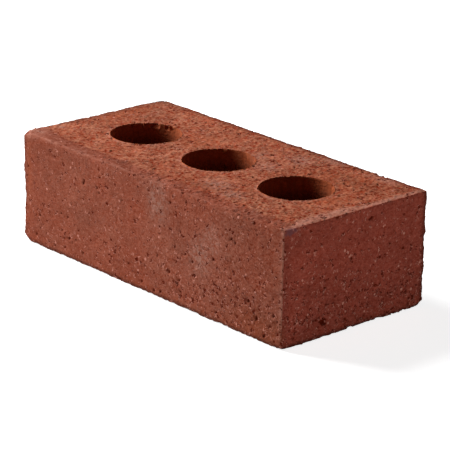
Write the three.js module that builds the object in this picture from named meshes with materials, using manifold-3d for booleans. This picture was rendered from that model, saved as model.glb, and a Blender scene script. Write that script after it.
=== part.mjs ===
// A perforated clay brick, extruded through a die and cut to height by a wire.
//
// The clay column leaves the die along +Z with its three round cores already in it, so the four
// upright faces and the core walls are die-drawn. The upper and lower bed faces are wire cuts.
// The fired body is one piece. Length runs along X, width along Y and height along Z. The origin
// is the middle of the lower bed face. All sizes are in millimetres.

import * as THREE from 'three';
import { mergeVertices } from 'three/addons/utils/BufferGeometryUtils.js';
import Module from 'manifold-3d';

const wasm = await Module();
wasm.setup();

// ---- Driving dimensions ----

const LENGTH = 215;
const WIDTH = 102.5;
const HEIGHT = 65;

const CORE_COUNT = 3;
const CORE_DIAMETER = 40;
const CORE_PITCH = 61.5;

const DIE_CORNER_RADIUS = 0.7; // the four upright arrises
const BED_ARRIS_RADIUS = 0.5; // the arrises round both bed faces
const CORE_MOUTH_RADIUS = 0.6; // the rubbed rim of each core

// Spalled corners. A corner is named by its side of the brick along X, Y and Z, and reach is how
// far the break runs from that corner along each of its three edges.
const SPALLS = [
  { corner: [-1, -1, +1], reach: [6, 4.5, 3] },
  { corner: [-1, -1, -1], reach: [6, 5, 4.5] },
  { corner: [+1, +1, -1], reach: [4, 5, 4] },
];

// ---- Fineness of the curves ----

const CORNER_STEPS = 5;
const ARRIS_STEPS = 4;
const CORE_STEPS = 72;
const MOUTH_STEPS = 2;
const CUT_MARGIN = 5; // how far a cutter stands out past the face it cuts

// ---- From three.js geometry to solids and back ----

function solidFrom(geometry) {
  const bare = geometry.clone();
  bare.deleteAttribute('normal');
  bare.deleteAttribute('uv');
  const merged = mergeVertices(bare, 1e-4);
  return new wasm.Manifold(
    new wasm.Mesh({
      numProp: 3,
      vertProperties: merged.getAttribute('position').array,
      triVerts: new Uint32Array(merged.getIndex().array),
    }),
  );
}

function geometryFrom(solid) {
  const mesh = solid.getMesh();
  const geometry = new THREE.BufferGeometry();
  geometry.setAttribute('position', new THREE.BufferAttribute(mesh.vertProperties, 3));
  geometry.setIndex(new THREE.BufferAttribute(mesh.triVerts, 1));
  geometry.computeVertexNormals();
  return geometry;
}

// ---- The clay column: the die's outline, drawn up to height, with both cut edges rounded ----

function dieOutline() {
  const x = LENGTH / 2;
  const y = WIDTH / 2;
  const r = DIE_CORNER_RADIUS;
  const quarter = Math.PI / 2;
  const outline = new THREE.Shape();
  outline.moveTo(-x + r, -y);
  outline.lineTo(x - r, -y);
  outline.absarc(x - r, -y + r, r, -quarter, 0);
  outline.lineTo(x, y - r);
  outline.absarc(x - r, y - r, r, 0, quarter);
  outline.lineTo(-x + r, y);
  outline.absarc(-x + r, y - r, r, quarter, 2 * quarter);
  outline.lineTo(-x, -y + r);
  outline.absarc(-x + r, -y + r, r, 2 * quarter, 3 * quarter);
  return outline;
}

function clayColumn() {
  const column = new THREE.ExtrudeGeometry(dieOutline(), {
    depth: HEIGHT - 2 * BED_ARRIS_RADIUS,
    curveSegments: CORNER_STEPS,
    bevelEnabled: true,
    bevelThickness: BED_ARRIS_RADIUS,
    bevelSize: BED_ARRIS_RADIUS,
    bevelOffset: -BED_ARRIS_RADIUS,
    bevelSegments: ARRIS_STEPS,
  });
  column.translate(0, 0, BED_ARRIS_RADIUS);
  return solidFrom(column);
}

// ---- One core: a straight bore that opens out over a rounded rim at each bed face ----

function coreCutter(centreX) {
  const bore = CORE_DIAMETER / 2;
  const rim = CORE_MOUTH_RADIUS;
  const mouth = bore + rim;
  const profile = new THREE.Path();
  profile.moveTo(0, -CUT_MARGIN);
  profile.lineTo(mouth, -CUT_MARGIN);
  profile.lineTo(mouth, 0);
  profile.absarc(mouth, rim, rim, -Math.PI / 2, -Math.PI, true);
  profile.lineTo(bore, HEIGHT - rim);
  profile.absarc(mouth, HEIGHT - rim, rim, Math.PI, Math.PI / 2, true);
  profile.lineTo(mouth, HEIGHT + CUT_MARGIN);
  profile.lineTo(0, HEIGHT + CUT_MARGIN);
  const cutter = new THREE.LatheGeometry(profile.getPoints(MOUTH_STEPS), CORE_STEPS);
  cutter.rotateX(Math.PI / 2);
  cutter.translate(centreX, 0, 0);
  return solidFrom(cutter);
}

// ---- One spall: the corner beyond the plane through the three points where the break ends ----

function spallCutter({ corner, reach }) {
  const tip = new THREE.Vector3(
    (corner[0] * LENGTH) / 2,
    (corner[1] * WIDTH) / 2,
    corner[2] > 0 ? HEIGHT : 0,
  );
  const outward = new THREE.Vector3(
    corner[0] / reach[0],
    corner[1] / reach[1],
    corner[2] / reach[2],
  );
  // The plane lies this far inside the tip, measured along its own normal.
  const depth = 1 / outward.length();
  outward.normalize();
  const size = 4 * Math.max(...reach);
  const cutter = new THREE.BoxGeometry(size, size, size);
  cutter.translate(0, 0, size / 2 - depth);
  cutter.applyQuaternion(new THREE.Quaternion().setFromUnitVectors(new THREE.Vector3(0, 0, 1), outward));
  cutter.translate(tip.x, tip.y, tip.z);
  return solidFrom(cutter);
}

// ---- The brick ----

function brickSolid() {
  let brick = clayColumn();
  for (let i = 0; i < CORE_COUNT; i++) {
    const centreX = (i - (CORE_COUNT - 1) / 2) * CORE_PITCH;
    brick = brick.subtract(coreCutter(centreX));
  }
  for (const spall of SPALLS) {
    brick = brick.subtract(spallCutter(spall));
  }
  return brick;
}

const firedClay = new THREE.MeshStandardMaterial({
  name: 'fired_clay',
  color: new THREE.Color(0.33, 0.1, 0.06), // red brick, in linear light
  roughness: 0.92,
  metalness: 0,
});

const brick = new THREE.Mesh(geometryFrom(brickSolid()), firedClay);
brick.name = 'brick';

const group = new THREE.Group();
group.name = 'perforated_clay_brick';
group.add(brick);

export default group;
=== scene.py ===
"""A fired clay brick with three cores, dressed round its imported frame.

The brick's skin is one closed mesh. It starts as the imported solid, is meshed finely, and is then worn,
torn and pitted by moving its points along their normals. Lengths are in millimetres, apart from those
of the floor and the lamps and those that Blender and the frame hold, which are in metres.
"""

import math

import bpy
import numpy as np
from mathutils import Matrix, Vector


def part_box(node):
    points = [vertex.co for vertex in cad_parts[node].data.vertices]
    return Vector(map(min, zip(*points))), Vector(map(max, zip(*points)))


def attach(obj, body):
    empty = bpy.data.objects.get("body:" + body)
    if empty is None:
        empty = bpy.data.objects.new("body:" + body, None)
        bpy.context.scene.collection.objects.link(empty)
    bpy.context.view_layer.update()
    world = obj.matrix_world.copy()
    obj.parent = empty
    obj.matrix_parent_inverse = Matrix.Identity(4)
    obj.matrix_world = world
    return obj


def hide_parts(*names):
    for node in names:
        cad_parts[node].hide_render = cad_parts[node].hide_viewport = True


MM = 0.001  # one millimetre, in the frame's metres

# ---- The brick's own sizes, in millimetres ----

CORE_RADIUS = 20.0
CORE_PITCH = 61.5
CORE_CENTRES = (-CORE_PITCH, 0.0, CORE_PITCH)

# ---- The skin's mesh ----

VOXEL = 0.5  # the size of the fine mesh's squares
SKIN_TRIANGLES = 198_000
SHARP_ANGLE = math.radians(50)  # edges that turn by more are shaded as sharp
CHART_GAP = 3.0  # the space between the faces in the flat layout

# The lattice's hash multiplies by these odd numbers, so that neighbouring cells get unlike numbers.
HASH_BY_AXIS = (0x8DA6B343, 0xD8163841, 0xCB1AB31F)
HASH_BY_SEED = 0x9E3779B1
HASH_BY_ROUND = ((15, 0x85EBCA6B), (13, 0xC2B2AE35))  # after a shift by so many bits
LARGEST_HASH = 0xFFFFFFFF

# ---- The brick's shape as it was dried, cut and worn ----

BOW = 0.3  # how far the middle of the brick sags below its ends
CORE_SKIN = 4.0  # how deep behind a core's wall a point may lie and still count as on it
FACE_SKIN = 1.5  # how deep behind a face a point may lie and still be part of its marked pits
MARKED_PIT_DEPTH = 0.65  # the depth of a marked pit, as a share of its width
TOOTH_REACH = 2.8  # how far the longest tooth round a core's rim runs back from it
TOOTH_DEPTH = 1.3

# How far over the faces the wear of an arris, a rim or a corner reaches.
CUT_ARRIS_REACH = 1.6
UPRIGHT_ARRIS_REACH = 1.2
RIM_REACH = 1.5
CORNER_REACH = 2.5

# The band beside the front arris that the cutting wire smeared shut. Its ends are places along X.
SMEAR_WIDTH = 10.0
SMEAR_FLARE = 3.0  # how much wider the band is at the left header
SMEAR_NECK_MIDDLE = -70.0  # where the band is narrowest
SMEAR_NECK_REACH = 12.0
SMEAR_NECK_DEPTH = 2.2  # how much narrower it is there
SMEAR_SMOOTH_END = -60.0  # where the band begins to grow rough
SMEAR_ROUGH_START = -10.0  # where it is as rough as the rest of the bed

# ---- Marks on the faces ----

# Pits that stand out on the front stretcher: the middle along X and Z, the length, the width, and
# how far the long way leans from upright, in degrees clockwise.
STRETCHER_PITS = (
    (-53, 49, 4.6, 1.8, 12),
    (-41.5, 48.5, 2.4, 1.6, -20),
    (-39.5, 46, 1.8, 1.4, 0),
    (-66, 12.5, 2.6, 2, 40),
    (-63, 10.5, 2.2, 1.6, 0),
    (-60, 13, 2, 1.5, 30),
    (-72.5, 15.5, 2, 1.6, 0),
    (-20, 47, 1.8, 1.4, 0),
    (10, 24, 2.2, 1.4, 0),
    (24, 33, 3, 1.3, 8),
    (32, 31, 2.4, 1.6, 30),
    (26.5, 12.5, 3.6, 1.5, 10),
    (29, 9, 3.2, 1.5, -35),
    (57.5, 6, 2.4, 2, 0),
    (68, 49.5, 2.8, 1.8, 45),
    (71, 48, 2.2, 1.8, 0),
    (82, 20, 2.8, 2.2, 0),
    (88, 12, 4.2, 2.2, 5),
    (94, 4.5, 3.4, 2.2, 10),
    (101, 17.5, 2.6, 2.2, 0),
    (103.5, 14.5, 2, 1.6, 0),
)

# Pits that stand out on the right header, with the middle along Y and Z, and the rest as above.
HEADER_PITS = (
    (10, 58, 4.2, 2, 80),
    (-1.5, 50, 2.4, 1.3, 90),
    (-24.6, 26.2, 2, 1.6, 0),
    (-3.3, 26.8, 2.2, 1.8, 0),
    (3.8, 30.7, 1.8, 1.4, 0),
    (20.4, 25.7, 3.2, 1.5, 75),
    (15.4, 20, 3.4, 1.8, 100),
    (13.6, 18, 2.6, 1.6, 30),
    (5.8, 19.8, 2, 1.5, 60),
    (-11.2, 18.3, 2, 1.5, 90),
    (-5.8, 11.7, 2.4, 1.5, 60),
    (-22.5, 9.2, 6, 4.2, 100),
    (-27.9, 11.2, 4.6, 1.8, 95),
    (-25, 4.6, 2.4, 1.8, 70),
    (-25.5, 7, 2.4, 1.6, 20),
    (-35.4, 7.1, 4.2, 1.6, 80),
    (-40.4, 14.6, 4, 1.5, 85),
    (-42.2, 5, 2.4, 1.5, 60),
    (-45.4, 10.4, 1.8, 1.4, 0),
    (26.7, 11.2, 2.4, 1.6, 30),
    (32.9, 9.6, 2, 1.5, 60),
    (37.9, 11.2, 2.2, 1.6, 0),
    (35.4, 5.4, 2.6, 1.6, 90),
)

# Grains that stand out pale on the front stretcher: the middle along X and Z, and the width.
STRETCHER_GRAINS = (
    (0, 19, 1.9),
    (41, 21, 1.7),
    (-86, 36, 1.5),
    (-22, 46, 1.5),
    (7.5, 40, 1.3),
    (11, 34.5, 1.4),
    (-58, 16, 1.4),
    (-6, 11, 1.4),
    (73, 62.5, 1.6),
    (-64.5, 54, 1.5),
    (87, 26, 1.5),
)

# The same on the right header, with the middle along Y and Z.
HEADER_GRAINS = (
    (-8.5, 44.7, 1.7),
    (-5, 40.6, 1.4),
    (34.6, 44.6, 1.5),
    (14.2, 33.7, 1.3),
    (-37.9, 35.4, 1.4),
    (31.7, 27, 1.4),
    (-8.3, 26.2, 1.4),
    (47.5, 25.4, 1.4),
    (-8.3, 15.8, 1.9),
    (7.5, 15.2, 1.4),
    (14.6, 15.2, 1.4),
    (34.6, 13.3, 1.7),
    (41.9, 11.7, 1.8),
    (-33.3, 15.7, 1.3),
    (-40.8, 12.9, 1.4),
    (20.4, 9, 1.4),
    (7.5, 7.5, 1.4),
    (-18.8, 7.5, 1.5),
)

# Knocks on corners and arrises: the middle, how far the knock reaches, and how deep it goes.
KNOCKS = (
    ((-107.5, 51.25, 65), 4, 0.8),
    ((-107.5, -51.25, 26), 8, 0.7),
    ((107.5, 12, 0), 7, 0.5),
    ((107.5, -51.25, 0), 3.5, 0.5),
    ((-107.5, 51.25, 0), 5, 1.2),
)

# Patches of pale kiln scum: the middle, and how far each reaches along X, Y and Z.
BLOOMS = (
    ((44, -51, 33), (14, 8, 16)),
    ((53, -51, 44), (10, 8, 13)),
    ((9, -51, 54), (13, 8, 19)),
    ((27, 34, 65), (14, 14, 8)),
    ((9, 24, 65), (10, 10, 8)),
    ((30, -28, 65), (16, 14, 8)),
    ((49, -34, 65), (13, 10, 8)),
    ((24, 14, 65), (12, 12, 8)),
    ((-100, -30, 65), (6, 3, 8)),
    ((-101, -46, 65), (8, 6, 4)),
)

# Patches painted a little darker, placed in the same way.
DIM_PATCHES = (
    ((-53, -33, 65), (18, 12, 8)),
    ((-30, -42, 65), (10, 6, 8)),
    ((20, -38, 65), (24, 8, 8)),
    ((-38, -14, 65), (15, 14, 8)),
    ((41, 3, 65), (13, 28, 8)),
    ((82, 30, 65), (26, 11, 8)),
    ((-50, -51.25, 28), (22, 5, 24)),
    ((90, -51.25, 11), (30, 4, 16)),
    ((107.5, -51.25, 9), (10, 4, 14)),
    ((107.5, -43, 55), (4, 12, 14)),
)

# Patches where the clay is redder, placed in the same way.
FLUSHES = (
    ((68, 28, 65), (34, 22, 10)),
    ((88, 0, 65), (20, 26, 10)),
    ((-31, 15, 65), (16, 22, 10)),
    ((30, -33, 65), (26, 10, 8)),
    ((-100, 14, 65), (12, 42, 8)),
    ((90, -51.25, 6), (40, 4, 16)),
    ((-102.4, -51.25, 44), (2.6, 4, 34)),
)

# A purple-grey spot of slag on the right header, at the front upper corner.
SLAG = ((107.5, -47, 63.5), (4, 6.5, 3.6))

# Places on the upper bed that handling rubbed pale, placed in the same way.
RUBBED_PATCHES = (
    ((-107.5, -51.25, 65), (22, 20, 5)),
    ((40, 46.5, 65), (15, 5, 5)),
    ((81, 46, 65), (16, 6, 5)),
)

# ---- Colours, in linear light ----

# Each kind of clay runs from a dark and strong colour to a pale one: the die's skin on the long faces
# and the left header, a darker and redder copy of it on the right header, which is painted shade, and the
# clay that the wire tore open.
SKIN_DARK = (0.203, 0.029, 0.008, 1)
SKIN_LIGHT = (0.420, 0.138, 0.087, 1)
SHADED_HEADER_DARK = (0.195, 0.020, 0.006, 1)
SHADED_HEADER_PALE = (0.431, 0.102, 0.068, 1)
TORN_DARK = (0.250, 0.021, 0.002, 1)
TORN_LIGHT = (0.525, 0.199, 0.112, 1)

# The clay's hue drifts between these two tints, which its colour is multiplied by.
WARM_TINT = (1.02, 0.90, 0.84, 1)
COOL_TINT = (0.98, 1.10, 1.16, 1)

# Coats on the clay: the colour, and how much of the clay the coat covers at most.
RED_FLUSH = ((0.40, 0.095, 0.038, 1), 0.4)
# The cores' walls: a redder clay, set paler as painted light so that the walls by the rims look lit.
CORE_WALL_AND_PAINTED_LIGHT = ((0.56, 0.128, 0.042, 1), 0.6)
GREY_SCUM = ((0.43, 0.22, 0.165, 1), 0.75)
# Pale rubbed clay, which along the arrises and rims is also a painted highlight.
RUBBED_CLAY_AND_HIGHLIGHT = ((0.57, 0.25, 0.18, 1), 0.95)
PURPLE_SLAG = ((0.16, 0.060, 0.066, 1), 0.75)
# Painted shade at the bottoms of pits, voids and bites, and on the teeth of the core rims.
PAINTED_PIT_SHADE = ((0.125, 0.010, 0.001, 1), 0.95)
# Pale grains, and the painted highlight below each small pit.
PALE_GRIT_AND_PIT_HIGHLIGHT = ((0.66, 0.27, 0.20, 1), 0.9)

DEEP_SHADE = 0.66  # painted shade: how much of its colour the clay loses deep in a core

# ---- The clay's grain and finish ----

STRONGEST_GRAIN = 1.5  # how far apart in tone the grains are where the "grain" mask is 1
GRAIN_TONE = 0.85  # how far the tone swings with the finest noise
CLUMP_TONE = 1.2  # with noise twice as coarse
CRUMB_TONE = 0.3  # and from one crumb to the next
GRAIN_SQUEEZE = (0.8, 0.8, 1.15)  # scales the noise, so that grains are wider than they are high
PIT_HIGHLIGHT_DROP = 0.8  # how far below a small pit the pale spot of painted highlight stands, where its lower edge would catch light
EDGE_BLUR = 0.3  # how far to each side of an arris one face's colour gives way to the next one's
GRAIN_BUMP = 0.22  # how high the grains and the clumps of the skin stand
TORN_GRAIN_BUMP = 0.18  # and those of torn clay, whose coarser relief is in the mesh
PIT_BUMP = 0.6
GRIT_BUMP = 0.12
ROUGHNESS = 0.9
ROUGHNESS_SWAY = 0.15
SPECULAR_LEVEL = 0.05

# ---- The floor and the world ----

WHITE = (1, 1, 1, 1)
FLOOR_GREY = (0.8, 0.8, 0.8, 1)
FLOOR_REACH = 1.6  # from the floor's middle to each side
FLOOR_GLOW = 0.84  # what the camera sees the floor give out, besides the light that it throws back
WORLD_LIGHT = 0.015

# ---- The viewpoint: where the camera stands round the brick, and how it is turned ----

CAMERA_AZIMUTH = 48.05  # degrees from the front stretcher towards the right header
CAMERA_ELEVATION = 19.39
CAMERA_ROLL = 1.12
CAMERA_DISTANCE = 1291.0
CAMERA_RIGHT = 4.0  # how far the camera is moved sideways, off the line through the brick's middle
CAMERA_UP = -5.1
SENSOR_WIDTH = 36.0
FOCAL_LENGTH = 189.0
NEAREST_SEEN = 0.01  # in metres, as Blender's own clip distances are
FARTHEST_SEEN = 100.0


# ---- Repeatable noise ----

def lattice_random(cell, seed):
    """A number from 0 to 1 for each whole-number lattice cell, the same at every run."""
    mixed = np.uint32(seed * HASH_BY_SEED & LARGEST_HASH)
    for axis, factor in enumerate(HASH_BY_AXIS):
        mixed = mixed ^ (cell[..., axis].astype(np.int64).astype(np.uint32) * np.uint32(factor))
    for shift, factor in HASH_BY_ROUND:
        mixed = (mixed ^ (mixed >> np.uint32(shift))) * np.uint32(factor)
    mixed = mixed ^ (mixed >> np.uint32(16))
    return mixed.astype(np.float64) / LARGEST_HASH


def smooth_noise(points, size, seed):
    """Soft noise from -1 to 1 whose features are about size across. Size may differ along X, Y, Z."""
    at = points / np.asarray(size, float)
    cell = np.floor(at)
    part = at - cell
    part = part * part * part * (part * (part * 6 - 15) + 10)
    total = np.zeros(len(points))
    for corner in np.ndindex(2, 2, 2):
        offset = np.array(corner, float)
        weight = np.prod(np.where(offset > 0, part, 1 - part), axis=1)
        total += weight * lattice_random(cell + offset, seed)
    return total * 2 - 1


def rough_noise(points, size, seed, octaves=3, gain=0.5):
    """Soft noise with finer and finer noise added to it, from about -1 to 1."""
    total = np.zeros(len(points))
    share = 1.0
    shares = 0.0
    for octave in range(octaves):
        total += share * smooth_noise(points, np.asarray(size, float) / 2**octave, seed + octave)
        shares += share
        share *= gain
    return total / shares


def scattered(points, spacing, share, radius, seed):
    """How deep each point lies in a scatter of round hollows, from 0 outside to 1 at a middle.

    One hollow may sit in each cell of a lattice of that spacing. share of the cells have one, where
    share is a number or a function of place, and its radius lies between the two values of radius."""
    at = points / spacing
    cell = np.floor(at)
    deepest = np.zeros(len(points))
    for step in np.ndindex(3, 3, 3):
        near = cell + np.array(step, float) - 1
        middle = near + np.stack([lattice_random(near, seed + k) for k in range(3)], axis=1)
        wide = radius[0] + (radius[1] - radius[0]) * lattice_random(near, seed + 3) ** 2
        apart = np.linalg.norm(at - middle, axis=1) * spacing / wide
        inside = np.clip(1 - apart**2, 0, 1)
        filled = share(middle * spacing) if callable(share) else share
        deepest = np.maximum(deepest, inside * (lattice_random(near, seed + 4) < filled))
    return deepest


# ---- Soft steps and bumps ----

def ramp(values, start, end):
    """0 at start and 1 at end, with a smooth step between them."""
    share = np.clip((values - start) / (end - start), 0, 1)
    return share * share * (3 - 2 * share)


def bell(values, reach):
    """1 where the value is 0, about a third at the reach, and next to nothing at twice the reach."""
    return np.exp(-((values / reach) ** 2))


def patch_mask(points, patches):
    """1 in the middle of a patch, and 0 outside them all."""
    total = np.zeros(len(points))
    for middle, reach in patches:
        apart = np.linalg.norm((points - np.array(middle)) / np.array(reach), axis=1)
        total = np.maximum(total, ramp(apart, 1.0, 0.1))
    return total


# ---- Where a point lies on the brick ----

class Place:
    """Where each point lies on the ideal brick, in millimetres.

    to_... is how far it is from the nearest face, arris, corner, rim or core wall of that kind, and
    from_... how far from that one face. at_rim is the nearest point on a core's rim, and depth is how far
    inside the brick the point lies. A point is on_core on a core's wall, and elsewhere on_bed where a bed
    is the nearest face. on_header says that it isn't on a bed and that a header is nearer than a
    stretcher, which also holds for parts of the outer cores' walls. upper is the upper half."""

    def __init__(self, points, size):
        x, y, z = points.T
        half_width = size[1] / 2
        self.half_length = size[0] / 2
        self.from_left = x + self.half_length
        self.from_front = y + half_width
        self.from_back = half_width - y
        self.upper = z > size[2] / 2

        self.to_header = self.half_length - np.abs(x)
        self.to_stretcher = half_width - np.abs(y)
        self.to_bed = np.minimum(z, size[2] - z)
        self.to_side = np.minimum(self.to_header, self.to_stretcher)
        self.to_cut_arris = np.hypot(self.to_bed, self.to_side)
        self.to_upright_arris = np.hypot(self.to_header, self.to_stretcher)
        outer = np.stack([self.to_header, self.to_stretcher, self.to_bed], axis=1)
        ordered = np.sort(outer, axis=1)
        self.to_corner = np.linalg.norm(ordered, axis=1)

        centres = np.array([[c, 0.0] for c in CORE_CENTRES])
        centre = centres[np.abs(x[:, None] - centres[:, 0]).argmin(axis=1)]
        outward = points[:, :2] - centre
        from_centre = np.linalg.norm(outward, axis=1)
        rim = centre + CORE_RADIUS * outward / from_centre[:, None]
        self.to_core = from_centre - CORE_RADIUS
        self.to_rim = np.hypot(self.to_core, self.to_bed)
        self.at_rim = np.column_stack([rim, np.where(self.upper, size[2], 0)])

        self.depth = np.minimum(ordered[:, 0], self.to_core)
        self.on_core = self.to_core < np.minimum(ordered[:, 0], CORE_SKIN)
        self.on_bed = ~self.on_core & (np.argmin(outer, axis=1) == 2)
        self.on_header = ~self.on_bed & (self.to_header < self.to_stretcher)


# ---- The wire's smeared band, which the relief and the colours share ----

def smear_width(x):
    """How wide the band beside the front arris is, where the wire smeared the beds shut."""
    flare = SMEAR_FLARE * ramp(x, -85.0, -107.5)
    return SMEAR_WIDTH + flare - SMEAR_NECK_DEPTH * bell(x - SMEAR_NECK_MIDDLE, SMEAR_NECK_REACH)


def torn_mask(points, place):
    """1 where the wire tore a bed face open, 0 on die skin and where the wire smeared the bed smooth."""
    x = points[:, 0]
    smooth = smear_width(x) * ramp(x, SMEAR_ROUGH_START, SMEAR_SMOOTH_END)
    inside = ramp(place.from_front - smooth, -1.0, 4.0)
    return inside * ramp(place.to_bed - place.to_side, 0.5, -0.5) * ~place.on_core


# ---- Relief of the faces ----

def bed_relief(points):
    """How far a wire-cut bed face is torn below its highest grains."""
    swells = 0.10 * (1 + smooth_noise(points, size=9.0, seed=11))
    grains = 0.45 * (1 - scattered(points, spacing=2.0, share=0.9, radius=(0.8, 1.5), seed=21))
    voids = 0.9 * scattered(points, spacing=4.6, share=0.4, radius=(0.6, 1.5), seed=31)
    return swells + grains + voids


def pit_share(points):
    """How much of the lattice of die pits is filled: they crowd to the right, and towards the foot."""
    right = ramp(points[..., 0], -20.0, 80.0)
    low = ramp(points[..., 2], 40.0, 8.0)
    return 0.16 + 0.14 * right + 0.14 * low + 0.24 * right * low


def die_relief(points):
    """How far a face that slid along the die lies below its smoothest skin."""
    waves = 0.05 * smooth_noise(points, size=14.0, seed=41)
    grain = 0.06 * rough_noise(points, size=2.6, seed=43)
    pits = 1.0 * scattered(points, spacing=5.0, share=pit_share, radius=(0.5, 1.4), seed=51)
    return waves + grain + pits


def core_relief(points):
    """How far a core's wall lies below its skin: it is drawn along the height and a little torn."""
    drag = 0.12 * (1 + rough_noise(points, size=(3.0, 3.0, 18.0), seed=61))
    tears = 0.8 * scattered(points, spacing=6.0, share=0.3, radius=(0.6, 2.0), seed=71)
    return drag + tears


def marked_pits(points, place):
    """How deep the pits that stand out on the front stretcher and on the right header go."""
    on_front = (points[:, 1] < 0) & (place.to_stretcher < FACE_SKIN)
    on_right = (points[:, 0] > 0) & (place.to_header < FACE_SKIN)
    ragged = 0.5 * smooth_noise(points, size=1.4, seed=55)
    deepest = np.zeros(len(points))
    for pits, axis, on_face in ((STRETCHER_PITS, 0, on_front), (HEADER_PITS, 1, on_right)):
        for middle, height, length, width, lean in pits:
            turn = math.radians(lean)
            right = points[:, axis] - middle
            up = points[:, 2] - height
            along = (right * math.sin(turn) + up * math.cos(turn)) / (length / 2)
            across = (right * math.cos(turn) - up * math.sin(turn)) / (width / 2)
            inside = np.clip(0.9 + ragged - along**2 - across**2, 0, 1)
            deepest = np.maximum(deepest, MARKED_PIT_DEPTH * width * inside * on_face)
    return deepest


# ---- Relief of the core rims and of the arrises ----

def tooth_share(rim):
    """How much of the cores' rims is torn into teeth: most at the back of the left core."""
    from_left_core = rim[:, :2] - np.array([CORE_CENTRES[0], 0.0])
    return 0.1 + 0.45 * ramp(from_left_core @ np.array([-0.66, 0.75]), 11.0, 17.0)


def rim_teeth(place):
    """How deep the rims of the cores are torn into teeth, where clay dragged along the core's former."""
    torn = smooth_noise(place.at_rim, size=1.4, seed=93) + 2 * tooth_share(place.at_rim) - 1.1
    reach = TOOTH_REACH * np.clip(torn / 0.4, 0, 1)
    depth = np.clip(1.2 * (reach - np.maximum(place.to_core, 0)), 0, TOOTH_DEPTH)
    return depth * ramp(place.to_bed, 4.0, 1.5)


def on_arrises(points, place):
    """Up to 1 on the wire-cut arrises, and on the upright ones, fading out over the faces beside them.

    The upright arris between the front stretcher and the right header is the crispest."""
    cut = bell(place.to_cut_arris, CUT_ARRIS_REACH)
    crispest = ramp(points[:, 0], 100.0, 105.0) * ramp(points[:, 1], -40.0, -45.0)
    upright = bell(place.to_upright_arris, UPRIGHT_ARRIS_REACH) * (1 - 0.75 * crispest)
    return cut, upright


def arris_rounding(points, place):
    """How much more the arrises, corners and core rims have rubbed away than the faces beside them."""
    cut, upright = on_arrises(points, place)
    rim = bell(place.to_rim, RIM_REACH)
    corner = bell(place.to_corner, CORNER_REACH)
    rub = 0.6 * rough_noise(points, size=6.0, seed=81, octaves=4, gain=0.8)
    crisp = 1 - 0.6 * ramp(points[:, 0], 95.0, 103.0) * place.upper
    lost = cut * crisp * (0.4 + rub) + upright * (0.2 + rub) + 0.5 * rim * rub + 0.2 * corner
    chipped = 1 + 0.3 * smooth_noise(points, size=2.5, seed=95)
    for middle, reach, depth in KNOCKS:
        apart = np.linalg.norm(points - np.array(middle), axis=1)
        lost += depth * bell(apart, reach) * chipped
    return lost


def bite_share(points):
    """How much of the lattice of arris bites is filled. The arrises of the left header are the cleanest."""
    return 0.35 + 0.25 * ramp(points[..., 0], -105.0, -75.0)


def arris_bites(points, place):
    """How deep the arrises are torn below that, and how high their burrs stand above it.

    The wire left the arrises of the beds ragged. The upright ones and those of the lower bed are frayed
    as well."""
    cut, upright = on_arrises(points, place)
    bites = scattered(points, spacing=4.4, share=bite_share, radius=(0.8, 2.4), seed=91)
    burrs = scattered(points, spacing=5.0, share=0.4, radius=(0.8, 1.8), seed=97)
    fray = 0.7 * rough_noise(points, size=2.2, seed=99)
    frayed = upright + 0.6 * cut * ~place.upper
    return cut * (1.4 * bites - 0.7 * burrs) + upright * (1.6 * bites - 0.6 * burrs) + frayed * fray


def bow(points, place):
    """How far the brick's slight bow takes each bed face in: it sagged along its length as it dried."""
    along = (points[:, 0] / place.half_length) ** 2
    return BOW * np.where(place.upper, 1 - along, along) * place.on_bed


def relief(points, place):
    """How far each point of the skin lies inside the ideal brick, in millimetres."""
    torn = torn_mask(points, place)
    skin = np.where(place.on_core, core_relief(points), die_relief(points))
    lost = torn * bed_relief(points) + (1 - torn) * skin + bow(points, place)
    lost += marked_pits(points, place) + rim_teeth(place)
    lost += arris_rounding(points, place) + arris_bites(points, place)
    return lost


# ---- The brick's skin ----

def add_object(name, data):
    """A new object of that mesh, camera or light, in the scene."""
    made = bpy.data.objects.new(name, data)
    bpy.context.scene.collection.objects.link(made)
    return made


def apply_modifiers(piece):
    """Makes the piece's modified mesh its own, and drops the modifiers."""
    bpy.context.view_layer.update()
    depsgraph = bpy.context.evaluated_depsgraph_get()
    made = bpy.data.meshes.new_from_object(piece.evaluated_get(depsgraph))
    old = piece.data
    piece.modifiers.clear()
    piece.data = made
    bpy.data.meshes.remove(old)


def read_vectors(rows, name):
    """That vector of each row of a mesh's list, as one array."""
    flat = np.empty(len(rows) * 3)
    rows.foreach_get(name, flat)
    return flat.reshape(-1, 3)


def read_counts(rows, name):
    """That whole number of each row of a mesh's list, as one array."""
    counts = np.empty(len(rows), np.int64)
    rows.foreach_get(name, counts)
    return counts


def points_of(mesh):
    """The mesh's points, in millimetres."""
    return read_vectors(mesh.vertices, "co") / MM


def fine_copy(node):
    """A new object with a fine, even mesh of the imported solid."""
    piece = add_object("fired_brick", node.data.copy())
    remesh = piece.modifiers.new("remesh", "REMESH")
    remesh.mode = "VOXEL"
    remesh.voxel_size = VOXEL * MM
    remesh.adaptivity = 0
    apply_modifiers(piece)
    return piece


def wear_down(mesh, size):
    """Moves each point of the mesh in along its normal, by the relief there."""
    points = points_of(mesh)
    normals = read_vectors(mesh.vertex_normals, "vector")
    lost = relief(points, Place(points, size))
    moved = points - normals * lost[:, None]
    mesh.vertices.foreach_set("co", (moved * MM).ravel())
    mesh.update()


def thin_out(piece, triangles):
    """Brings the piece's mesh down to that many triangles, with the most where it is roughest."""
    piece.data.calc_loop_triangles()
    thin = piece.modifiers.new("thin", "DECIMATE")
    thin.ratio = triangles / len(piece.data.loop_triangles)
    apply_modifiers(piece)


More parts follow.
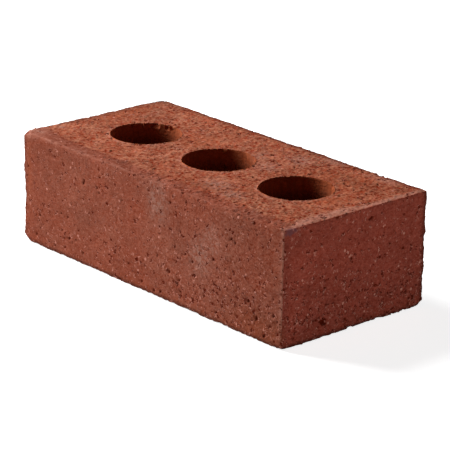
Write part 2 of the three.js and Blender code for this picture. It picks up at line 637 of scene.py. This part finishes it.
def make_skin(node, size):
    """The brick's worn skin, as a new object with its masks and its flat layout."""
    piece = fine_copy(node)
    wear_down(piece.data, size)
    thin_out(piece, SKIN_TRIANGLES)
    mesh = piece.data
    mesh.polygons.foreach_set("use_smooth", [True] * len(mesh.polygons))
    mesh.set_sharp_from_angle(angle=SHARP_ANGLE)
    paint_masks(mesh, size)
    unwrap(mesh, size)
    return piece


# ---- What the shader reads from the skin: masks from 0 to 1 at its points ----

def fresh_mask(points, place):
    """1 where the beds and cores show the colour of the clay's inside, and 0 by the front stretcher.

    The shader keeps what it reads here to the beds and the cores."""
    soft = 3.0 + 2.0 * ramp(points[:, 0], -60.0, 0.0)
    inside = ramp((place.from_front - smear_width(points[:, 0])) / soft, -1.0, 1.0)
    return np.maximum(inside, place.on_core)


def hollow_shade_mask(points, place):
    """1 at the bottom of a pit, void or bite, and on the teeth of a core's rim, where shade is painted dark.
    """
    depth = place.depth - arris_rounding(points, place) - bow(points, place)
    start = 0.3 + 0.5 * torn_mask(points, place)
    pits = np.clip((depth - start) / 0.4, 0, 1) * ~place.on_core
    return np.maximum(pits, place.on_bed * rim_teeth(place) / TOOTH_DEPTH)


def pitted_mask(points, place):
    """How much of the lattice of small painted pits is filled: least on the beds and high on the headers."""
    cleaner = 1.2 - 0.5 * place.on_header * ramp(points[:, 2], 26.0, 40.0)
    return np.where(place.on_bed, 0.32, cleaner * pit_share(points))


def rubbed_and_highlight_mask(points, place):
    """1 where handling has rubbed the clay beside an arris or a core rim pale. Along the arrises and rims
    this is also a painted highlight.
    """
    x, y, z = points.T
    patchy = 0.75 + 0.5 * rough_noise(points, size=12.0, seed=101)

    header_share = 0.12 + 1.08 * (x > 0)
    broad = ramp(y, 8.0, -4.0) * ramp(y, -42.0, -34.0)
    by_header = header_share * ramp(place.to_header, 5.5 + 4.5 * broad, 2.5 + 3.5 * broad) * place.on_bed
    by_header *= 0.4 + 0.6 * ramp(place.to_header, 0.4, 1.4)

    front_share = 0.35 * ramp(x, 80.0, 20.0) + 0.3 * ramp(x, 20.0, -100.0)
    below_bed = 0.6 * ~place.on_bed
    by_front = front_share * ramp(place.to_cut_arris + below_bed, 2.4, 0.9) * (y < 0) * place.upper

    by_rim = 0.6 * (0.3 + 0.9 * ramp(y, 4.0, -6.0)) * ramp(place.to_core, 2.6, 1.2) * place.on_bed

    on_stretcher = (x > 0) & (place.to_stretcher < np.minimum(place.to_header, 1.2))
    upright = 0.6 * ramp(place.to_header, 4.0, 0.8) * on_stretcher * ramp(z, 6.0, 20.0)
    marked = patch_mask(points, RUBBED_PATCHES)
    return patchy * np.max([by_header, by_front, by_rim, upright, marked], axis=0)


def outline_shade_mask(points, place):
    """1 along the arrises of the back and the left header, and 1.5 on the back right arris: painted shade
    that darkens the edges of the outline.
    """
    x, y, _ = points.T
    beside_bed = ramp(place.to_bed, 4.0, 2.0)
    wider = 2.0 * ramp(x, -50.0, -90.0)
    back_top = ramp(place.from_back, 4.4 + wider, 2.2 + wider) * beside_bed
    back_right = 1.5 * ramp(place.from_back, 3.8, 1.8) * ramp(x, 100.0, 104.0)
    left_top = ramp(place.from_left, 6.5, 4.0) * ramp(y, -32.0, -22.0) * beside_bed
    left_front = 0.85 * ramp(place.from_left, 2.6, 1.6) * (place.to_stretcher < 3.0)
    return np.max([back_top, back_right, left_top, left_front], axis=0)


def shade_mask(points, place):
    """The share of its colour that the clay keeps. The smeared band is darker clay and the listed patches are
    painted darker. Painted shade darkens the sides towards the foot, the foot itself, the right header under
    its upper arris and beside its front arris, and the arrises along the outline. The upper bed is darker at
    its left end, and the front stretcher towards its right end.
    """
    x, y, z = points.T
    on_stretcher = ~place.on_bed & (place.to_stretcher < place.to_header)
    on_right_header = (x > 0) & (place.to_header < 1.0)

    smeared = place.on_bed * (place.from_front < smear_width(x)) * ramp(x, -10.0, -60.0)
    left_end = place.on_bed * ramp(x, -70.0, -95.0) * ramp(y, -25.0, -5.0)
    right_end = ramp(x, 30.0, 100.0) * on_stretcher
    # Painted shade: low on the sides, under the right header's upper arris, beside its front arris, and a
    # contact shadow at the foot.
    low = ramp(z, 35.0, 5.0) * ramp(x, -110.0, 40.0) * ~place.on_bed
    under_bed = ramp(place.to_bed, 2.4, 0.8) * place.on_header * (x > 0) * place.upper
    by_front_arris = ramp(place.from_front, 7.0, 0.5) * ramp(place.to_bed, 1.0, 3.0) * on_right_header
    foot = ramp(z, 3.1, 1.6) * ramp(place.to_side, 3.5, 1.5)

    painted_shade_and_tone = (
        (0.12, smeared),
        (0.11, right_end),
        (0.05, low),
        (0.09, left_end),
        (0.18, under_bed),
        (0.25, by_front_arris),
        (0.16, patch_mask(points, DIM_PATCHES)),
        (0.5 + 0.15 * place.on_header, foot),
        (0.35, outline_shade_mask(points, place)),
    )
    kept = 1.0
    for strength, where in painted_shade_and_tone:
        kept = kept * (1 - strength * where)
    return kept


def flush_mask(points, place):
    """1 where the clay is redder, in the marked patches and, less, along the foot towards the right."""
    patchy = 0.6 + 0.5 * rough_noise(points, size=9.0, seed=105)
    along_foot = 0.8 * patchy * ramp(points[:, 2], 9.0, 2.0) * (1 - 0.7 * place.on_header)
    return np.maximum(patch_mask(points, FLUSHES), along_foot * ramp(points[:, 0], -130.0, 20.0))


def grain_mask(points, place):
    """How far apart in tone the grains are: least deep in the cores, and most on torn clay."""
    x, _, z = points.T
    header = 0.72 + 0.12 * ramp(z, 34.0, 8.0)
    stretcher = 0.60 + 0.25 * ramp(x, -60.0, 90.0)
    skin = np.where(place.on_header, header, stretcher) + 0.4 * place.on_bed
    torn = 1.20 + 0.30 * ramp(x, 10.0, 70.0)
    grain = skin + (torn - skin) * fresh_mask(points, place) * place.on_bed
    wall = 0.45 + 0.4 * ramp(place.to_bed, 6.0, 2.0)
    return np.where(place.on_core, wall, grain) / STRONGEST_GRAIN


def paint_masks(mesh, size):
    """Stores on the mesh every mask that the shader reads."""
    points = points_of(mesh)
    place = Place(points, size)
    masks = {
        "torn": torn_mask(points, place),
        "fresh": fresh_mask(points, place),
        "cored": place.on_core,
        # Painted shade down the cores' walls, from none 4 mm below a rim to full at 11.5 mm and deeper.
        "deep": place.on_core * ramp(place.to_bed, 4.0, 11.5),
        "hollow": hollow_shade_mask(points, place),
        "pitted": pitted_mask(points, place),
        "rubbed": rubbed_and_highlight_mask(points, place),
        "grain": grain_mask(points, place),
        "bloom": patch_mask(points, BLOOMS),
        "flush": flush_mask(points, place),
        "slag": patch_mask(points, [SLAG]) * (place.to_header < place.to_side + 0.3),
        "shade": shade_mask(points, place),
    }
    for name, values in masks.items():
        layer = mesh.attributes.new(name, "FLOAT", "POINT")
        layer.data.foreach_set("value", np.clip(values, 0, 1).astype(np.float32))


# ---- A flat layout of the skin, for baked pictures ----

def chart_corners(size):
    """The lower left corner of each chart in the layout, and the length of the layout's square side.

    The charts stand in three columns: the beds and the stretchers, the headers with the left core, and
    the other two cores."""
    length, width, height = size
    girth = 2 * math.pi * CORE_RADIUS
    columns = (
        (length, (width, width, height, height)),
        (height, (width, width, girth)),
        (height, (girth, girth)),
    )
    corners = []
    across = CHART_GAP
    for wide, charts in columns:
        up = CHART_GAP
        for tall in charts:
            corners.append((across, up))
            up += tall + CHART_GAP
        across += wide + CHART_GAP
    return np.array(corners), across


def charts_of(centres, size):
    """Which chart each face of the mesh is on: that of the brick's face or core wall nearest to it."""
    length, width, height = size
    x, y, z = centres.T
    apart = [height - z, z, y + width / 2, width / 2 - y, x + length / 2, length / 2 - x]
    for centre in CORE_CENTRES:
        apart.append(np.hypot(x - centre, y) - CORE_RADIUS)
    return np.argmin(np.abs(apart), axis=0)


def unwrap(mesh, size):
    """Lays each face of the brick and each core's wall out flat, side by side, in a map named OFBake."""
    length, width, _ = size
    owner = np.repeat(np.arange(len(mesh.polygons)), read_counts(mesh.polygons, "loop_total"))
    centres = read_vectors(mesh.polygons, "center") / MM
    chart = charts_of(centres, size)[owner]

    x, y, z = points_of(mesh)[read_counts(mesh.loops, "vertex_index")].T
    beds = np.stack([x + length / 2, y + width / 2], 1)
    stretchers = np.stack([x + length / 2, z], 1)
    headers = np.stack([z, y + width / 2], 1)
    layouts = [beds, beds, stretchers, stretchers, headers, headers]
    for centre in CORE_CENTRES:
        middle = np.arctan2(centres[owner, 1], centres[owner, 0] - centre)
        turn = np.arctan2(y, x - centre) - middle
        angle = middle + (turn + math.pi) % (2 * math.pi) - math.pi
        layouts.append(np.stack([z, (angle + math.pi) * CORE_RADIUS], 1))

    flat = np.array(layouts)[chart, np.arange(len(chart))]
    starts, side = chart_corners(size)
    layer = mesh.uv_layers.new(name="OFBake")
    layer.data.foreach_set("uv", ((flat + starts[chart]) / side).astype(np.float32).ravel())


# ---- Materials ----

class Nodes:
    """A node tree under construction, with a short method for each kind of node that it needs."""

    def __init__(self, owner):
        owner.use_nodes = True
        self.tree = owner.node_tree
        self.tree.nodes.clear()

    def add(self, kind, inputs, **settings):
        """A new node of that kind. inputs gives a link or a value for each of its sockets that is set."""
        node = self.tree.nodes.new("ShaderNode" + kind)
        for name, value in settings.items():
            setattr(node, name, value)
        for name, value in inputs.items():
            if isinstance(value, bpy.types.NodeSocket):
                self.tree.links.new(value, node.inputs[name])
            else:
                node.inputs[name].default_value = value
        return node

    def calc(self, operation, *values):
        """The result of that operation on numbers."""
        return self.add("Math", dict(enumerate(values)), operation=operation).outputs[0]

    def times(self, first, second):
        """The product of two numbers."""
        return self.calc("MULTIPLY", first, second)

    def sway(self, noise, amount, middle):
        """middle, moved up and down by that amount as the noise swings about 0.5."""
        return self.calc("MULTIPLY_ADD", self.calc("SUBTRACT", noise, 0.5), amount, middle)

    def between(self, share, first, second):
        """The first value where share is 0, and the second where it is 1."""
        return self.calc("MULTIPLY_ADD", share, self.calc("SUBTRACT", second, first), first)

    def step(self, value, start, end):
        """0 at start and 1 at end, with a smooth step between them."""
        inputs = {"Value": value, "From Min": start, "From Max": end}
        return self.add("MapRange", inputs, interpolation_type="SMOOTHSTEP").outputs[0]

    def vectors(self, operation, first, second):
        """The result of that operation on two vectors."""
        return self.add("VectorMath", {0: first, 1: second}, operation=operation).outputs[0]

    def scaled(self, vector, factor):
        """The vector or colour, times the factor."""
        inputs = {0: vector, "Scale": factor}
        return self.add("VectorMath", inputs, operation="SCALE").outputs[0]

    def blend(self, share, first, second):
        """The first colour where share is 0, and the second where it is 1."""
        inputs = {0: share, 6: first, 7: second}
        return self.add("Mix", inputs, data_type="RGBA").outputs[2]

    def coated(self, colour, coat, share):
        """The colour under a coat, which covers it as far as the coat can where share is 1."""
        tint, cover = coat
        return self.blend(self.times(share, cover), colour, tint)

    def mask(self, name):
        """The mask of that name at the mesh's points."""
        return self.add("Attribute", {}, attribute_name=name).outputs["Fac"]

    def noise(self, where, size, detail=2.0, roughness=0.5):
        """Noise about 0.5 whose features are about size millimetres across."""
        inputs = {"Vector": where, "Scale": 1 / size, "Detail": detail, "Roughness": roughness}
        return self.add("TexNoise", inputs).outputs["Fac"]

    def cells(self, where, size):
        """Cells about size millimetres across: the distance to a cell's middle, and its three random numbers.

        A Voronoi cell's own colour says where its middle lies, so white noise stirs it first."""
        node = self.add("TexVoronoi", {"Vector": where, "Scale": 1 / size})
        luck = self.add("TexWhiteNoise", {"Vector": node.outputs["Color"]}).outputs["Color"]
        return node.outputs["Distance"], self.add("SeparateColor", {"Color": luck}).outputs


def spots(nodes, where, size, share, radius):
    """Up to 1 on small round spots. share of the cells, each size across, have one of up to that radius."""
    distance, luck = nodes.cells(where, size)
    chosen = nodes.calc("LESS_THAN", luck[0], share)
    reach = nodes.calc("MULTIPLY_ADD", luck[1], 0.6 * radius / size, 0.4 * radius / size)
    inner = nodes.times(reach, 0.6)
    inside = nodes.add("MapRange", {"Value": distance, "From Min": reach, "From Max": inner}).outputs[0]
    strength = nodes.calc("MULTIPLY_ADD", luck[2], 0.5, 0.5)
    return nodes.times(nodes.times(inside, strength), chosen)


def pits_at(nodes, where, share):
    """Up to 1 in small pits of two sizes."""
    small = spots(nodes, where, size=2.6, share=share, radius=1.0)
    large = spots(nodes, where, size=4.2, share=share, radius=1.4)
    return nodes.calc("MAXIMUM", small, large)


def marked_grains(nodes, where, size):
    """1 on the grains that stand out pale on the front stretcher and on the right header."""
    on_front = [((x, -size[1] / 2, z), width) for x, z, width in STRETCHER_GRAINS]
    on_right = [((size[0] / 2, y, z), width) for y, z, width in HEADER_GRAINS]
    total = None
    for middle, width in on_front + on_right:
        apart = nodes.add("VectorMath", {0: where, 1: middle}, operation="DISTANCE").outputs["Value"]
        inside = nodes.step(apart, 0.6 * width, 0.3 * width)
        total = inside if total is None else nodes.calc("MAXIMUM", total, inside)
    return total


def outer_faces(nodes, where, size):
    """1 on the beds and 1 on the right header, each ending sharply on its arrises."""
    place = nodes.add("SeparateXYZ", {0: where}).outputs
    above = nodes.calc("SUBTRACT", place[2], size[2] / 2)
    to_right = nodes.calc("SUBTRACT", size[0] / 2, place[0])
    to_header = nodes.calc("SUBTRACT", size[0] / 2, nodes.calc("ABSOLUTE", place[0]))
    to_stretcher = nodes.calc("SUBTRACT", size[1] / 2, nodes.calc("ABSOLUTE", place[1]))
    to_bed = nodes.calc("SUBTRACT", size[2] / 2, nodes.calc("ABSOLUTE", above))
    beside_bed = nodes.calc("MINIMUM", to_header, to_stretcher)
    beside_header = nodes.calc("MINIMUM", to_bed, to_stretcher)
    on_bed = nodes.step(nodes.calc("SUBTRACT", beside_bed, to_bed), -EDGE_BLUR, EDGE_BLUR)
    on_right = nodes.step(nodes.calc("SUBTRACT", beside_header, to_right), -EDGE_BLUR, EDGE_BLUR)
    return on_bed, on_right


class Clay:
    """What the colour, the roughness and the bump of the clay all draw on, as shader sockets.

    where is the place in millimetres. torn and fresh are 1 on torn clay and on clay of the inside's
    colour, and on_right is 1 on the right header, whose colours hold painted shade. cloud, mottle, clump,
    grain and crumb are tones from the broadest to the finest, and drift and hue are a broad and a finer
    change of tint. pits and grit are up to 1 in small pits and on pale grains, and the pit highlight is up
    to 1 on a pale spot of painted highlight below each small pit, where its lower edge would catch the light."""

    def __init__(self, nodes, size):
        self.where = nodes.scaled(nodes.add("TexCoord", {}).outputs["Object"], 1 / MM)
        self.find_kinds(nodes, size)
        self.find_tones(nodes)
        self.find_marks(nodes, size)

    def find_kinds(self, nodes, size):
        """Tells torn, fresh and die-drawn clay apart, with a frayed edge between them."""
        on_bed, self.on_right = outer_faces(nodes, self.where, size)
        fray = nodes.noise(self.where, size=3.0, detail=3, roughness=0.6)
        torn = nodes.step(nodes.sway(fray, 1.6, nodes.mask("torn")), 0.35, 0.65)
        self.torn = nodes.times(torn, on_bed)
        fresh = nodes.step(nodes.sway(fray, 2.0, nodes.mask("fresh")), 0.2, 0.8)
        self.fresh = nodes.calc("MAXIMUM", nodes.times(fresh, on_bed), nodes.mask("cored"))

    def find_tones(self, nodes):
        """Makes the tones of the clay's body, whose grains are coarser where it is fresh."""
        lying = nodes.vectors("MULTIPLY", self.where, GRAIN_SQUEEZE)
        self.cloud = nodes.noise(lying, size=26.0, detail=3, roughness=0.55)
        self.mottle = nodes.noise(lying, size=6.0, detail=3, roughness=0.6)
        skin_clump, fresh_clump = (nodes.noise(lying, size, detail=2, roughness=0.6) for size in (2.2, 2.8))
        skin_grain, fresh_grain = (nodes.noise(lying, size, detail=1, roughness=0.6) for size in (1.1, 1.4))
        self.clump = nodes.between(self.fresh, skin_clump, fresh_clump)
        self.grain = nodes.between(self.fresh, skin_grain, fresh_grain)
        self.drift = nodes.noise(self.where, size=40.0, detail=2, roughness=0.5)
        self.hue = nodes.noise(self.where, size=9.0, detail=1)

    def find_marks(self, nodes, size):
        """Places the crumbs, pits, painted highlights below the pits and pale grains, all bent out of their
        round shapes.
        """
        wander = nodes.add("TexNoise", {"Vector": self.where, "Scale": 1 / 1.3, "Detail": 1.0})
        swing = nodes.vectors("SUBTRACT", wander.outputs["Color"], (0.5, 0.5, 0.5))
        bent = nodes.vectors("ADD", nodes.scaled(swing, 4.5), self.where)
        self.crumb = nodes.cells(bent, size=1.4)[1][0]

        share = nodes.mask("pitted")
        outside = nodes.calc("SUBTRACT", 1.0, nodes.mask("cored"))
        self.pits = nodes.times(pits_at(nodes, bent, share), outside)
        below = nodes.vectors("ADD", bent, (0.0, 0.0, PIT_HIGHLIGHT_DROP))
        # Painted highlight: a pale spot just below each small pit, where its lower edge would catch the
        # light.
        pit_highlight = nodes.calc("SUBTRACT", pits_at(nodes, below, share), nodes.times(self.pits, 2.0))
        self.pit_highlight = nodes.times(nodes.calc("MAXIMUM", pit_highlight, 0.0), outside)

        grit_share = nodes.calc("MULTIPLY_ADD", share, 0.5, 0.16)
        fine = nodes.times(spots(nodes, bent, size=2.3, share=grit_share, radius=1.0), outside)
        self.grit = nodes.calc("MAXIMUM", fine, marked_grains(nodes, self.where, size))


def clay_tone(nodes, clay):
    """0 where a grain of the clay is darkest and 1 where it is palest."""
    tone = nodes.sway(clay.grain, GRAIN_TONE, 0.0)
    tone = nodes.sway(clay.clump, CLUMP_TONE, tone)
    tone = nodes.sway(clay.crumb, CRUMB_TONE, tone)
    contrast = nodes.times(nodes.mask("grain"), STRONGEST_GRAIN)
    return nodes.calc("MULTIPLY_ADD", tone, contrast, 0.5)


def body_colour(nodes, clay):
    """The clay's colour, with painted light and shade. Fresh clay is lighter and more orange than the skin
    that slid along the die.
    """
    # The right header takes a darker, redder copy of the skin's colours: painted shade.
    dark = nodes.blend(clay.fresh, nodes.blend(clay.on_right, SKIN_DARK, SHADED_HEADER_DARK), TORN_DARK)
    light = nodes.blend(clay.fresh, nodes.blend(clay.on_right, SKIN_LIGHT, SHADED_HEADER_PALE), TORN_LIGHT)
    colour = nodes.blend(clay_tone(nodes, clay), dark, light)

    # The tint swings most on fresh clay, and on the right header only a fifth as far as elsewhere.
    drift = nodes.sway(clay.drift, 2.0, 0.5)
    hue = nodes.sway(clay.hue, nodes.calc("MULTIPLY_ADD", clay.fresh, 0.9, 0.6), drift)
    hue = nodes.sway(hue, nodes.calc("MULTIPLY_ADD", clay.on_right, -0.8, 1.0), 0.5)
    colour = nodes.vectors("MULTIPLY", colour, nodes.blend(hue, WARM_TINT, COOL_TINT))
    colour = nodes.coated(colour, RED_FLUSH, nodes.mask("flush"))
    # The cores' walls, in their redder colour set paler as painted light.
    colour = nodes.coated(colour, CORE_WALL_AND_PAINTED_LIGHT, nodes.mask("cored"))

    blotchy = nodes.calc("MULTIPLY_ADD", clay.torn, 0.45, 0.45)
    cloudy = nodes.sway(clay.mottle, blotchy, nodes.sway(clay.cloud, 0.5, 1.0))
    # Painted shade: deep in the cores, and the shade mask's darkening.
    lit = nodes.calc("MULTIPLY_ADD", nodes.mask("deep"), -DEEP_SHADE, nodes.mask("shade"))
    return nodes.scaled(colour, nodes.times(cloudy, lit))


def clay_colour(nodes, clay):
    """The clay's colour with what lies on it: kiln scum, rubbed places, slag, pits and pale grains. The pits
    hold painted shade, and painted highlights lie along the arrises, by the rims and below the pits.
    """
    colour = body_colour(nodes, clay)

    scum_noise = nodes.noise(clay.where, size=2.2, detail=4, roughness=0.7)
    scum = nodes.times(nodes.mask("bloom"), nodes.step(scum_noise, 0.38, 0.62))
    colour = nodes.coated(colour, GREY_SCUM, scum)

    rub_noise = nodes.noise(clay.where, size=2.2, detail=3, roughness=0.6)
    # Pale rubbing, with a painted highlight along the arrises and rims.
    rubbed = nodes.times(nodes.mask("rubbed"), nodes.step(rub_noise, 0.2, 0.65))
    rubbed = nodes.times(rubbed, nodes.calc("SUBTRACT", 1.0, clay.on_right))
    colour = nodes.coated(colour, RUBBED_CLAY_AND_HIGHLIGHT, rubbed)

    slag = nodes.step(nodes.sway(scum_noise, 2.0, nodes.mask("slag")), 0.1, 0.8)
    colour = nodes.coated(colour, PURPLE_SLAG, slag)

    # Painted shade: the small pits and the deeper hollows darkened as if in shadow.
    sunk = nodes.calc("MAXIMUM", nodes.step(clay.pits, 0.05, 0.6), nodes.mask("hollow"))
    colour = nodes.coated(colour, PAINTED_PIT_SHADE, sunk)
    # Pale grains, and the painted highlights below the small pits.
    pale = nodes.calc("MAXIMUM", clay.grit, nodes.times(clay.pit_highlight, 0.8))
    return nodes.coated(colour, PALE_GRIT_AND_PIT_HIGHLIGHT, pale)


def clay_height(nodes, clay):
    """The relief that is too fine for the mesh, in millimetres."""
    fine = nodes.calc("MULTIPLY_ADD", clay.torn, TORN_GRAIN_BUMP - GRAIN_BUMP, GRAIN_BUMP)
    height = nodes.times(clay.grain, fine)
    height = nodes.calc("MULTIPLY_ADD", clay.clump, fine, height)
    height = nodes.calc("MULTIPLY_ADD", clay.pits, -PIT_BUMP, height)
    return nodes.calc("MULTIPLY_ADD", clay.grit, GRIT_BUMP, height)


def fired_clay(size):
    """Matt brick. size is the brick's, in millimetres."""
    material = bpy.data.materials.new("fired_clay")
    nodes = Nodes(material)
    clay = Clay(nodes, size)
    bump = nodes.add("Bump", {"Height": clay_height(nodes, clay), "Distance": MM, "Strength": 1.0})
    surface = nodes.add("BsdfPrincipled", {
        "Base Color": clay_colour(nodes, clay),
        "Roughness": nodes.sway(clay.mottle, ROUGHNESS_SWAY, ROUGHNESS),
        "Normal": bump.outputs[0],
        "Specular IOR Level": SPECULAR_LEVEL,
    })
    nodes.add("OutputMaterial", {"Surface": surface.outputs[0]})
    return material


def white_floor():
    """A pale floor that the camera sees as white, but for the brick's shadow."""
    material = bpy.data.materials.new("floor_paper")
    nodes = Nodes(material)
    paper = nodes.add("BsdfDiffuse", {"Color": FLOOR_GREY}).outputs[0]
    glow = nodes.add("Emission", {"Color": WHITE, "Strength": FLOOR_GLOW}).outputs[0]
    seen = nodes.add("AddShader", {0: paper, 1: glow}).outputs[0]
    camera = nodes.add("LightPath", {}).outputs["Is Camera Ray"]
    both = nodes.add("MixShader", {0: camera, 1: paper, 2: seen}).outputs[0]
    nodes.add("OutputMaterial", {"Surface": both})
    return material


# ---- The studio ----

def make_floor():
    """A square floor under the brick."""
    far = FLOOR_REACH
    mesh = bpy.data.meshes.new("floor")
    mesh.from_pydata([(-far, -far, 0), (far, -far, 0), (far, far, 0), (-far, far, 0)], [], [(0, 1, 2, 3)])
    mesh.materials.append(white_floor())
    floor = add_object("floor", mesh)


def direction(azimuth, elevation):
    """The unit vector to that azimuth, counted as the camera's is, and elevation, in degrees."""
    around = math.radians(azimuth)
    above = math.radians(elevation)
    return Vector((
        math.sin(around) * math.cos(above),
        -math.cos(around) * math.cos(above),
        math.sin(above),
    ))


def camera_frame():
    """The camera's right, up and backward directions."""
    azimuth = math.radians(CAMERA_AZIMUTH)
    roll = math.radians(CAMERA_ROLL)
    back = direction(CAMERA_AZIMUTH, CAMERA_ELEVATION)
    level = Vector((math.cos(azimuth), math.sin(azimuth), 0))
    upright = back.cross(level)
    right = math.cos(roll) * level + math.sin(roll) * upright
    up = math.cos(roll) * upright - math.sin(roll) * level
    return right, up, back


def make_camera(size):
    """The scene's camera, at the viewpoint."""
    right, up, back = camera_frame()
    data = bpy.data.cameras.new("camera")
    data.sensor_width = SENSOR_WIDTH
    data.lens = FOCAL_LENGTH
    data.clip_start = NEAREST_SEEN
    data.clip_end = FARTHEST_SEEN
    camera = add_object("camera", data)
    middle = Vector((0, 0, size[2] / 2))
    stand = middle + back * CAMERA_DISTANCE + right * CAMERA_RIGHT + up * CAMERA_UP
    turned = Matrix((right, up, back)).transposed()
    camera.matrix_world = Matrix.Translation(stand * MM) @ turned.to_4x4()
    bpy.context.scene.camera = camera


def area_lamp(name, azimuth, elevation, distance, size, watts):
    """A lamp that faces the brick."""
    data = bpy.data.lights.new(name, "AREA")
    data.shape = "RECTANGLE"
    data.size, data.size_y = size
    data.energy = watts
    lamp = add_object(name, data)
    towards = direction(azimuth, elevation)
    lamp.location = towards * distance
    lamp.rotation_euler = towards.to_track_quat("Z", "Y").to_euler()


def make_lamps():
    """A soft box high on the left, and two strips so low that they don't shine down the cores."""
    area_lamp("key", azimuth=-72, elevation=42, distance=1.5, size=(0.65, 0.65), watts=30.0)
    area_lamp("front_strip", azimuth=-25, elevation=1.8, distance=0.95, size=(0.8, 0.05), watts=1.3)
    area_lamp("right_strip", azimuth=80, elevation=1.8, distance=0.95, size=(0.8, 0.05), watts=2.3)


def make_world():
    """Surroundings that are white to the camera and in gloss, and that light the brick only faintly."""
    world = bpy.data.worlds.new("studio")
    bpy.context.scene.world = world
    nodes = Nodes(world)
    path = nodes.add("LightPath", {}).outputs
    lit = nodes.add("Background", {"Color": WHITE, "Strength": WORLD_LIGHT}).outputs[0]
    white = nodes.add("Background", {"Color": WHITE, "Strength": 1.0}).outputs[0]
    seen = nodes.calc("MAXIMUM", path["Is Camera Ray"], path["Is Glossy Ray"])
    both = nodes.add("MixShader", {0: seen, 1: lit, 2: white}).outputs[0]
    nodes.add("OutputWorld", {"Surface": both})


# ---- The scene ----

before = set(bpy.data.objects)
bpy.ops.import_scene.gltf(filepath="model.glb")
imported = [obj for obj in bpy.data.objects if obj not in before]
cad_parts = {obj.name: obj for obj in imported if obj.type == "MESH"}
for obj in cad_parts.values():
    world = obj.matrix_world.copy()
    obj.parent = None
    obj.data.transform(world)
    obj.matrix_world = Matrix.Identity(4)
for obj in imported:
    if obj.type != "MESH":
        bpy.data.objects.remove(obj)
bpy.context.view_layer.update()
low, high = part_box("brick")
brick_size = [(high[i] - low[i]) / MM for i in range(3)]

make_camera(brick_size)
brick = make_skin(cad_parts["brick"], brick_size)
brick.data.materials.clear()
brick.data.materials.append(fired_clay(brick_size))
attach(brick, "root")
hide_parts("brick")
make_floor()
make_lamps()
make_world()
bpy.context.scene.view_settings.view_transform = "Standard"
